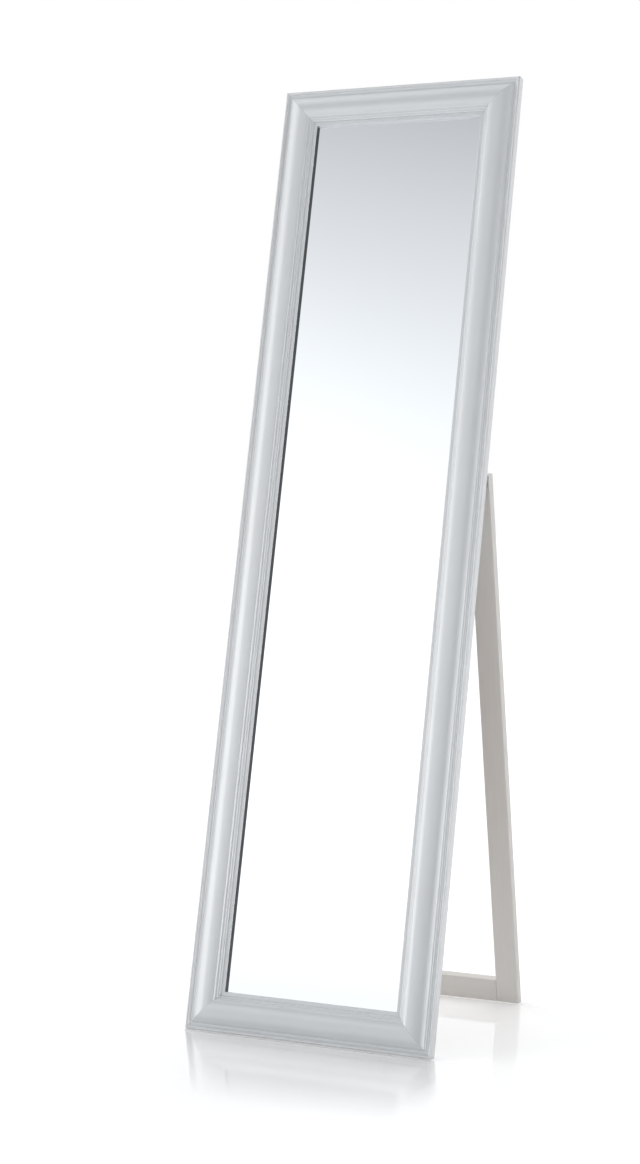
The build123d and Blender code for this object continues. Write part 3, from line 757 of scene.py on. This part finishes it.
class NodeMesh:
    """Geometry Nodes tree that lathes a fastener and puts a copy of it on each point."""

    MERGE = 0.00001  # metres within which the lathe closes its seam and its ends
    CREASE = 35.0
    SPIN = 37.0  # degrees by which each fastener is turned past the last, as if driven by hand

    def __init__(self, name: str, sizes: dict[str, float]) -> None:
        """Starts the tree, with a named input for each size.

        Args:
            name: Name of the tree.
            sizes: Default of each size in metres.
        """
        self.sizes = sizes
        self.tree = bpy.data.node_groups.new(name, "GeometryNodeTree")
        sockets = self.tree.interface
        sockets.new_socket("Places", in_out="INPUT", socket_type="NodeSocketGeometry")
        self.keys = {
            size: sockets.new_socket(size, in_out="INPUT", socket_type="NodeSocketFloat").identifier
            for size in sizes
        }
        self.finish_key = sockets.new_socket(
            "Finish", in_out="INPUT", socket_type="NodeSocketMaterial"
        ).identifier
        sockets.new_socket("Fasteners", in_out="OUTPUT", socket_type="NodeSocketGeometry")
        self.start = add(self.tree, "NodeGroupInput")

    def math(self, operation: str, *values: Number) -> bpy.types.NodeSocket:
        """Result of a Math node.

        Args:
            operation: Blender's name of the operation.
            values: Numbers or sockets.

        Returns:
            Output socket.
        """
        node = add(self.tree, "ShaderNodeMath", dict(enumerate(values)), operation=operation)
        return node.outputs[0]

    def ramps(self, at: bpy.types.NodeSocket, steps: list[tuple]) -> bpy.types.NodeSocket:
        """Sum of straight ramps.

        Args:
            at: Number from 0 to 1 along the outline.
            steps: Where each ramp starts and ends, and how much it adds.

        Returns:
            Socket with the sum.
        """
        total = None
        for first, last, change in steps:
            ramp = add(self.tree, "ShaderNodeMapRange", {0: at, 1: first, 2: last, 4: change}).outputs[0]
            total = ramp if total is None else self.math("ADD", total, ramp)
        return total

    def lathe(self, sides: int, rows: int,
              radius: Callable[[bpy.types.NodeSocket, bpy.types.NodeSocket], bpy.types.NodeSocket],
              height: Callable[[bpy.types.NodeSocket], bpy.types.NodeSocket]) -> bpy.types.NodeSocket:
        """Closed turned body about Z.

        Args:
            sides: Faces round it.
            rows: Faces from its top centre to its bottom centre.
            radius: Function that gives the radius socket, from the place along the outline and
                the turn about the axis, both 0 to 1.
            height: Function that gives the height socket, from the place along the outline.

        Returns:
            Mesh socket.
        """
        grid = add(self.tree, "GeometryNodeMeshGrid", {
            "Size X": 1.0, "Size Y": 1.0, "Vertices X": sides + 1, "Vertices Y": rows + 1,
        })
        place = add(self.tree, "ShaderNodeSeparateXYZ", {
            0: add(self.tree, "GeometryNodeInputPosition").outputs[0],
        })
        turn = self.math("ADD", place.outputs[0], 0.5)
        along = self.math("SUBTRACT", 0.5, place.outputs[1])
        r = radius(along, turn)
        angle = self.math("MULTIPLY", turn, 2 * pi)
        spot = add(self.tree, "ShaderNodeCombineXYZ", {
            0: self.math("MULTIPLY", r, self.math("COSINE", angle)),
            1: self.math("MULTIPLY", r, self.math("SINE", angle)),
            2: height(along),
        }).outputs[0]
        moved = add(self.tree, "GeometryNodeSetPosition", {
            "Geometry": grid.outputs[0], "Position": spot,
        })
        closed = add(self.tree, "GeometryNodeMergeByDistance", {
            "Geometry": moved.outputs[0], "Distance": self.MERGE,
        })
        return closed.outputs[0]

    def carve(self, body: bpy.types.NodeSocket,
              cutters: list[bpy.types.NodeSocket]) -> bpy.types.NodeSocket:
        """Cuts several bodies out of one.

        Args:
            body: Mesh socket that is cut.
            cutters: Mesh sockets that are taken out.

        Returns:
            Mesh socket.
        """
        cut = add(self.tree, "GeometryNodeMeshBoolean", {
            0: body,
        }, operation="DIFFERENCE", solver="EXACT")
        for cutter in cutters:
            self.tree.links.new(cutter, cut.inputs[1])
        return cut.outputs[0]

    def block(self, *size: Number) -> bpy.types.NodeSocket:
        """Block of a size, numbers or sockets, centred in the head's flat."""
        extent = add(self.tree, "ShaderNodeCombineXYZ", dict(enumerate(size))).outputs[0]
        return add(self.tree, "GeometryNodeMeshCube", {"Size": extent}).outputs[0]

    def finish(self, fastener: bpy.types.NodeSocket) -> None:
        """Ends the tree: a copy on each point, turned as its attribute says, made real and finished.

        Args:
            fastener: Mesh socket of one fastener.
        """
        turn = add(self.tree, "GeometryNodeInputNamedAttribute", {
            "Name": "turn",
        }, data_type="FLOAT_VECTOR")
        spin = add(self.tree, "FunctionNodeEulerToRotation", {0: turn.outputs[0]}).outputs[0]
        copies = add(self.tree, "GeometryNodeInstanceOnPoints", {
            "Points": self.start.outputs["Places"], "Instance": fastener, "Rotation": spin,
        })
        real = add(self.tree, "GeometryNodeRealizeInstances", {0: copies.outputs[0]})
        done = add(self.tree, "GeometryNodeSetMaterial", {
            "Geometry": real.outputs[0], "Material": self.start.outputs["Finish"],
        })
        add(self.tree, "NodeGroupOutput", {0: done.outputs[0]})

    def place(self, name: str, spots: list[tuple[Vector, Vector]], finish: Finish) -> bpy.types.Object:
        """Runs the tree over the spots and keeps its result as a plain mesh.

        Args:
            name: Name of the piece.
            spots: Place and outward axis of each fastener.
            finish: Its finish.

        Returns:
            The piece.
        """
        points = bpy.data.meshes.new(name + "_places")
        points.from_pydata([tuple(at) for at, _ in spots], [], [])
        turn = points.attributes.new("turn", "FLOAT_VECTOR", "POINT")
        for n, (_, axis) in enumerate(spots):
            outward = axis.to_track_quat("Z", "Y")
            spin = Matrix.Rotation(radians(self.SPIN * n), 3, "Z").to_quaternion()
            turn.data[n].vector = tuple((outward @ spin).to_euler())
        holder = bpy.data.objects.new(name + "_places", points)
        bpy.context.scene.collection.objects.link(holder)
        modifier = holder.modifiers.new("fasteners", "NODES")
        modifier.node_group = self.tree
        for size, key in self.keys.items():
            modifier[key] = self.sizes[size]
        modifier[self.finish_key] = finish.material()
        evaluated = holder.evaluated_get(bpy.context.evaluated_depsgraph_get())
        mesh = bpy.data.meshes.new_from_object(evaluated)
        holder.modifiers.remove(modifier)
        bpy.data.objects.remove(holder)
        shell = bmesh.new()
        shell.from_mesh(mesh)
        bmesh.ops.recalc_face_normals(shell, faces=shell.faces)
        shade_smooth(shell, self.CREASE)
        shell.to_mesh(mesh)
        shell.free()
        return new_piece(name, mesh, finish)


class WoodScrew(NodeMesh):
    """Countersunk wood screw with a cross recess and a rolled thread.

    The pairs are where a stretch of the outline starts and ends, from 0 at the head's centre to 1
    at the point's tip.
    """

    SIDES = 20
    ROWS = 72
    HEAD = (0.0, 0.08)
    CONE = (0.10, 0.18)
    SHANK = (0.18, 0.85)
    POINT = (0.85, 1.0)
    THREAD_STARTS = (0.2, 0.26)
    THREAD_ENDS = (0.98, 0.88)
    LIFT = 100.0  # whole turns added to the thread's phase, so that it is never negative

    def __init__(self, length: float, diameter: float = 0.003, head: float = 0.006) -> None:
        """Builds the tree.

        Args:
            length: From the flush head to the point.
            diameter: Of the shank.
            head: Diameter of the head.
        """
        super().__init__(f"wood_screw_{length * 1000:.0f}", {
            "Length": length, "Shank Radius": diameter / 2, "Head Radius": head / 2,
            "Head Depth": 0.0014, "Point Length": 0.003, "Pitch": 0.0013, "Thread Depth": 0.0004,
            "Recess Width": 0.0007, "Recess Span": 0.0031, "Recess Depth": 0.0011,
        })
        size = self.start.outputs
        wide, narrow, deep = size["Recess Span"], size["Recess Width"], size["Recess Depth"]
        body = self.lathe(self.SIDES, self.ROWS, self.outline, self.drop)
        recess = [self.block(wide, narrow, deep), self.block(narrow, wide, deep)]
        self.finish(self.carve(body, recess))

    def outline(self, along: bpy.types.NodeSocket, turn: bpy.types.NodeSocket) -> bpy.types.NodeSocket:
        """Radius: flat head, countersink, threaded shank, point.

        Args:
            along: Place along the outline.
            turn: Turn about the axis, 0 to 1.

        Returns:
            Socket with the radius.
        """
        size = self.start.outputs
        neck = self.math("SUBTRACT", size["Shank Radius"], size["Head Radius"])
        plain = self.ramps(along, [
            (*self.HEAD, size["Head Radius"]),
            (*self.CONE, neck),
            (*self.POINT, self.math("MULTIPLY", size["Shank Radius"], -1.0)),
        ])
        depth = self.math("DIVIDE", self.drop(along), size["Pitch"])
        phase = self.math("FRACT", self.math("ADD", depth, self.math("ADD", turn, self.LIFT)))
        ridge = self.math("ABSOLUTE", self.math("SUBTRACT", phase, 0.5))
        worn = self.math("MULTIPLY", self.math("MULTIPLY", ridge, size["Thread Depth"]), -2.0)
        start, end = (
            add(self.tree, "ShaderNodeMapRange", {0: along, 1: none, 2: full}).outputs[0]
            for none, full in (self.THREAD_STARTS, self.THREAD_ENDS)
        )
        return self.math("ADD", plain, self.math("MULTIPLY", worn, self.math("MULTIPLY", start, end)))

    def drop(self, along: bpy.types.NodeSocket) -> bpy.types.NodeSocket:
        """Height under the head's flat.

        Args:
            along: Place along the outline.

        Returns:
            Socket with the height, 0 or less.
        """
        size = self.start.outputs
        ends = self.math("ADD", size["Head Depth"], size["Point Length"])
        shank = self.math("SUBTRACT", size["Length"], ends)
        return self.ramps(along, [
            (*self.CONE, self.math("MULTIPLY", size["Head Depth"], -1.0)),
            (*self.SHANK, self.math("MULTIPLY", shank, -1.0)),
            (*self.POINT, self.math("MULTIPLY", size["Point Length"], -1.0)),
        ])


class DomedHead(NodeMesh):
    """Low domed head with a short spigot under it, as peening leaves on a pin's end.

    The pairs are where a stretch of the outline starts and ends, from 0 at the dome's top to 1 at
    the centre of the spigot's end.
    """

    SIDES = 28
    ROWS = 30
    DOME = (0.0, 0.6)
    SEAT = (0.65, 0.75)
    SPIGOT = (0.75, 0.9)
    END = (0.9, 1.0)

    def __init__(self, name: str, head_radius: float, head_height: float, spigot_radius: float,
                 spigot_length: float) -> None:
        """Builds the tree.

        Args:
            name: Name of the tree.
            head_radius: Radius of the head.
            head_height: Height of the dome over its seat.
            spigot_radius: Radius of the part under the seat.
            spigot_length: Length of that part.
        """
        super().__init__(name, {
            "Head Radius": head_radius, "Head Height": head_height,
            "Spigot Radius": spigot_radius, "Spigot Length": spigot_length,
        })
        self.finish(self.lathe(self.SIDES, self.ROWS, self.outline, self.drop))

    def quarter(self, along: bpy.types.NodeSocket) -> bpy.types.NodeSocket:
        """Angle from the dome's top, 0 to a quarter turn at its rim."""
        return self.math("MULTIPLY", self.ramps(along, [(*self.DOME, 1.0)]), pi / 2)

    def outline(self, along: bpy.types.NodeSocket, turn: bpy.types.NodeSocket) -> bpy.types.NodeSocket:
        """Radius: quarter ellipse, flat seat, spigot, flat end.

        Args:
            along: Place along the outline.
            turn: Turn about the axis, which changes nothing on a plain round body.

        Returns:
            Socket with the radius.
        """
        size = self.start.outputs
        dome = self.math("MULTIPLY", self.math("SINE", self.quarter(along)), size["Head Radius"])
        seat = self.math("SUBTRACT", size["Spigot Radius"], size["Head Radius"])
        under = self.ramps(along, [
            (*self.SEAT, seat),
            (*self.END, self.math("MULTIPLY", size["Spigot Radius"], -1.0)),
        ])
        return self.math("ADD", dome, under)

    def drop(self, along: bpy.types.NodeSocket) -> bpy.types.NodeSocket:
        """Height over the head's seat.

        Args:
            along: Place along the outline.

        Returns:
            Socket with the height.
        """
        size = self.start.outputs
        dome = self.math("MULTIPLY", self.math("COSINE", self.quarter(along)), size["Head Height"])
        spigot = self.ramps(along, [(*self.SPIGOT, self.math("MULTIPLY", size["Spigot Length"], -1.0))])
        return self.math("ADD", dome, spigot)


def screw_spots(node: str) -> tuple[list[tuple[Vector, Vector]], float]:
    """Where the screws of a CAD node are.

    Args:
        node: Name of the node.

    Returns:
        Centre of each head with the axis out of it, and the screws' length.
    """
    spots = []
    length = 0.0
    for solid in islands(node):
        centre = solid.mean(0)
        _, _, rows = np.linalg.svd(solid - centre, full_matrices=False)
        axis = rows[0]
        along = (solid - centre) @ axis
        off = np.linalg.norm(solid - centre - np.outer(along, axis), axis=1)
        if along[np.argmax(off)] < 0:
            axis, along = -axis, -along
        spots.append((Vector(centre + axis * along.max()), Vector(axis)))
        length = along.max() - along.min()
    return spots, length


@dataclass
class MirrorFrame:
    """Mitred frame of lacquered moulding with the mirror, its backing board and what holds them."""

    slope: Slope
    members: tuple[str, ...] = ("stile_left", "stile_right", "rail_top", "rail_bottom")

    def build(self) -> None:
        """Builds the moulding and dresses what is behind it."""
        low, high = self.slope.box("frame_stile_right")
        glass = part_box("mirror_glass")[1].x
        lacquer = SprayedLacquer(
            "satin_white_sprayed_lacquer", self.slope,
            half_width=high.x, half_height=(high.z - low.z) / 2, sight=low.x,
        )
        LOG.info("frame %.4f by %.4f m, glass to %.4f m", 2 * high.x, high.z - low.z, glass)
        for member in self.members:
            piece = smooth_copy(f"frame_{member}", f"moulding_{member}", lacquer)
            show(piece, Body.FRAME, "white_lacquer", f"frame_{member}")
        dress("mirror_glass", SilveredGlass("silvered_float_glass"))
        dress("backing_board", PressedHardboard("screen_pressed_hardboard"))
        strip = PlatedSteel(
            "bright_rolled_steel_strip", colour="#BDBEC0", shade="#A7A8AB", roughness=0.25,
        )
        for node in ("corner_v_nails", "retaining_points"):
            dress(node, strip)


@dataclass
class EaselStand:
    """Two legs, head rail and foot rail of painted board, joined by dowels."""

    slope: Slope
    legs: tuple[str, ...] = ("leg_left", "leg_right")
    rails: tuple[str, ...] = ("head_rail", "foot_rail")

    def build(self) -> None:
        """Builds the boards and dresses the dowels."""
        upright = PaintedBoard("rolled_white_paint_on_leg", self.slope, Grain.UP_THE_SLOPE)
        across = PaintedBoard("rolled_white_paint_on_rail", self.slope, Grain.ACROSS)
        for boards, finish in ((self.legs, upright), (self.rails, across)):
            for board in boards:
                piece = smooth_copy(f"stand_{board}", f"board_{board}", finish)
                show(piece, Body.STAND, "white_paint", f"stand_{board}")
        dress("stand_dowels", TurnedBeech("turned_beech_dowel"))


@dataclass
class Hinges:
    """Two butt hinges: leaves, pins and screws."""

    steel: PlatedSteel
    sides: tuple[str, ...] = ("left", "right")
    dome_spread: float = 1.25      # radius of a peened end over that of the pin
    dome_height: float = 0.0006
    spigot_share: float = 0.8      # radius of the spigot in the pin over that of the pin
    spigot_length: float = 0.001

    def build(self) -> None:
        """Builds leaves, pins and screws."""
        for side in self.sides:
            for owner, body in (("frame", Body.FRAME), ("stand", Body.STAND)):
                node = f"hinge_{owner}_leaf_{side}"
                show(smooth_copy(node, f"{node}_plated", self.steel), body, "zinc_steel", node)
            pin = f"hinge_pin_{side}"
            show(smooth_copy(pin, f"{pin}_plated", self.steel), Body.FRAME, "zinc_steel", pin)
        for owner, body in (("frame", Body.FRAME), ("stand", Body.STAND)):
            node = f"hinge_{owner}_screws"
            spots, length = screw_spots(node)
            piece = WoodScrew(length).place(f"{node}_cross_head", spots, self.steel)
            show(piece, body, "zinc_steel", node)
        self.build_pin_ends()

    def build_pin_ends(self) -> None:
        """Domes peened on both ends of each pin."""
        spots = []
        for side in self.sides:
            low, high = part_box(f"hinge_pin_{side}")
            centre = (low + high) / 2
            spots.append((Vector((low.x, centre.y, centre.z)), Vector((-1.0, 0.0, 0.0))))
            spots.append((Vector((high.x, centre.y, centre.z)), Vector((1.0, 0.0, 0.0))))
        radius = (high.z - low.z) / 2
        heads = DomedHead(
            "peened_pin_end", radius * self.dome_spread, self.dome_height,
            radius * self.spigot_share, self.spigot_length,
        )
        show(heads.place("hinge_pin_ends", spots, self.steel), Body.FRAME, "zinc_steel")


@dataclass
class Stays:
    """Two slotted stays with their brackets, rivets, studs and washers."""

    steel: PlatedSteel
    sides: tuple[str, ...] = ("left", "right")

    def build(self) -> None:
        """Builds what shows of the stays."""
        for side in self.sides:
            dress(f"stay_bar_{side}", self.steel)
            node = f"stay_bracket_{side}"
            show(smooth_copy(node, f"{node}_plated", self.steel), Body.FRAME, "zinc_steel", node)
            node = f"stay_rivet_{side}"
            show(smooth_copy(node, f"{node}_plated", self.steel), Body.FRAME, "zinc_steel", node)
        spots, length = screw_spots("stay_bracket_screws")
        screws = WoodScrew(length).place("stay_bracket_screws_cross_head", spots, self.steel)
        show(screws, Body.FRAME, "zinc_steel", "stay_bracket_screws")
        for node in ("stay_studs", "stay_washers"):
            show(smooth_copy(node, f"{node}_plated", self.steel), Body.STAND, "zinc_steel", node)


@dataclass(frozen=True)
class Patch:
    """Soft round patch of light on the studio's walls, as seen from the mirror.

    The azimuth is 0 in front of the mirror and grows towards +X; the elevation is over the floor.
    """

    azimuth: float
    elevation: float
    inner: float
    outer: float
    strength: float
    colour: str = "#FFFFFF"

    def direction(self) -> Vector:
        """Direction of the middle of the patch.

        Returns:
            Unit vector.
        """
        level = cos(radians(self.elevation))
        return Vector((
            sin(radians(self.azimuth)) * level,
            -cos(radians(self.azimuth)) * level,
            sin(radians(self.elevation)),
        ))

    def share(self, tree: bpy.types.NodeTree, towards: bpy.types.NodeSocket) -> bpy.types.NodeSocket:
        """Brightness of the patch in a direction.

        Args:
            tree: World tree.
            towards: Direction, a unit vector.

        Returns:
            Socket, from 0 outside the patch to its strength inside.
        """
        near = add(tree, "ShaderNodeVectorMath", {
            0: towards, 1: self.direction(),
        }, operation="DOT_PRODUCT").outputs["Value"]
        return add(tree, "ShaderNodeMapRange", {
            0: near, 1: cos(radians(self.outer)), 2: cos(radians(self.inner)),
            3: 0.0, 4: self.strength,
        }, interpolation_type="SMOOTHSTEP").outputs[0]


@dataclass(frozen=True)
class Card(Patch):
    """Patch that starts and ends level, as a wide reflector card does: what the mirror shows."""

    foot: tuple[float, float] = (2.0, 17.0)
    head: tuple[float, float] = (43.0, 24.0)

    def share(self, tree: bpy.types.NodeTree, towards: bpy.types.NodeSocket) -> bpy.types.NodeSocket:
        """Brightness of the card in a direction.

        Args:
            tree: World tree.
            towards: Direction, a unit vector.

        Returns:
            Socket, from 0 outside the card to its strength inside.
        """
        share = super().share(tree, towards)
        height = add(tree, "ShaderNodeSeparateXYZ", {0: towards}).outputs[2]
        for dark, bright in (self.foot, self.head):
            edge = add(tree, "ShaderNodeMapRange", {
                0: height, 1: sin(radians(dark)), 2: sin(radians(bright)),
            }, interpolation_type="SMOOTHSTEP").outputs[0]
            share = add(tree, "ShaderNodeMath", {0: share, 1: edge}, operation="MULTIPLY").outputs[0]
        return share


@dataclass
class Studio:
    """Plain white studio: floor, soft light from all round and the camera."""

    base: float = 0.24
    patches: tuple[Patch, ...] = (
        Card(-26.0, 24.0, 22.0, 48.0, 0.8),      # reflector card, which the mirror shows
        Patch(-60.0, 2.0, 6.0, 28.0, 2.6),       # low softbox on the left
        Patch(-30.0, 2.0, 6.0, 28.0, 0.5),       # its weaker neighbour, nearer the camera
        Patch(60.0, 2.0, 6.0, 28.0, 3.7),        # low softbox on the right
        Patch(180.0, 42.0, 8.0, 36.0, 1.9),      # high light behind the mirror
        Patch(-135.0, 42.0, 8.0, 36.0, 0.9),     # high light on the left, behind
        Patch(-90.0, 42.0, 8.0, 36.0, 1.7),      # high light on the left
        Patch(0.0, 88.0, 8.0, 40.0, 0.3),        # overhead fill
    )
    base_colour: str = "#F2F6FB"
    camera_place: Vector = field(default_factory=lambda: Vector((1.2961, -3.0459, 0.8081)))
    camera_yaw: float = 0.4228     # radians
    camera_pitch: float = -0.0396
    camera_roll: float = 0.0125
    lens_mm: float = 65.97
    sensor_mm: float = 36.0
    clip: tuple[float, float] = (0.05, 200.0)
    floor_half: float = 40.0
    behind: tuple[float, float] = (-0.05, 0.15)  # Y of a mirrored ray where plain white fades in

    def build(self) -> None:
        """Builds the floor, the light and the camera."""
        self.build_floor()
        self.build_world()
        self.build_camera()
        bpy.context.scene.view_settings.view_transform = "Standard"

    def build_floor(self) -> None:
        """Large plain floor that keeps the object's shadow."""
        half = self.floor_half
        mesh = bpy.data.meshes.new("floor")
        corners = [(-half, -half, 0), (half, -half, 0), (half, half, 0), (-half, half, 0)]
        mesh.from_pydata(corners, [], [(0, 1, 2, 3)])
        finish = GlossyFloor(
            "white_studio_floor",
            sheens=(
                Sheen(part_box("frame_rail_bottom")[0].y, reach=0.32, strength=0.7, half_width=0.24),
                Sheen(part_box("stand_foot_rail")[0].y, reach=0.65, strength=0.34, half_width=0.5),
            ),
        )
        new_piece("floor", mesh, finish)

    def build_world(self) -> None:
        """Light from all round, and plain white where the camera looks past the object."""
        world = bpy.data.worlds.new("studio")
        bpy.context.scene.world = world
        world.use_nodes = True
        tree = world.node_tree
        tree.nodes.clear()
        towards = add(tree, "ShaderNodeTexCoord").outputs["Generated"]
        total = tuple(self.base * part for part in linear(self.base_colour)[:3])
        for patch in self.patches:
            light = add(tree, "ShaderNodeVectorMath", {
                0: linear(patch.colour)[:3], 3: patch.share(tree, towards),
            }, operation="SCALE").outputs[0]
            total = add(tree, "ShaderNodeVectorMath", {0: total, 1: light}, operation="ADD").outputs[0]
        rays = add(tree, "ShaderNodeLightPath")
        behind = add(tree, "ShaderNodeMapRange", {
            0: add(tree, "ShaderNodeSeparateXYZ", {0: towards}).outputs[1],
            1: self.behind[0], 2: self.behind[1],
        }).outputs[0]
        mirrored = add(tree, "ShaderNodeMath", {
            0: rays.outputs["Is Glossy Ray"], 1: behind,
        }, operation="MULTIPLY").outputs[0]
        plain = add(tree, "ShaderNodeMath", {
            0: rays.outputs["Is Camera Ray"], 1: mirrored,
        }, operation="MAXIMUM").outputs[0]
        lit = add(tree, "ShaderNodeBackground", {"Color": total}).outputs[0]
        white = add(tree, "ShaderNodeBackground", {"Color": linear("#FFFFFF")}).outputs[0]
        both = add(tree, "ShaderNodeMixShader", {0: plain, 1: lit, 2: white}).outputs[0]
        add(tree, "ShaderNodeOutputWorld", {"Surface": both})

    def build_camera(self) -> None:
        """Camera at the photographer's viewpoint."""
        yaw, pitch, roll = self.camera_yaw, self.camera_pitch, self.camera_roll
        ahead = Vector((-sin(yaw) * cos(pitch), cos(yaw) * cos(pitch), sin(pitch)))
        right = Vector((cos(yaw), sin(yaw), 0.0))
        up = right.cross(ahead)
        level = right * cos(roll) + up * sin(roll)
        above = up * cos(roll) - right * sin(roll)
        turn = Matrix((level, above, -ahead)).transposed()
        data = bpy.data.cameras.new("camera")
        data.sensor_width = self.sensor_mm
        data.lens = self.lens_mm
        data.clip_start, data.clip_end = self.clip
        camera = bpy.data.objects.new("camera", data)
        camera.matrix_world = Matrix.Translation(self.camera_place) @ turn.to_4x4()
        bpy.context.scene.collection.objects.link(camera)
        bpy.context.scene.camera = camera


def main() -> None:
    """Builds the object's looks and the studio round it."""
    logging.basicConfig(level=logging.INFO, format="%(name)s: %(message)s")
    steel = PlatedSteel("bright_zinc_plated_steel")
    MirrorFrame(frame_slope()).build()
    EaselStand(stand_slope()).build()
    Hinges(steel).build()
    Stays(steel).build()
    Studio().build()


if __name__ == "__main__":
    main()
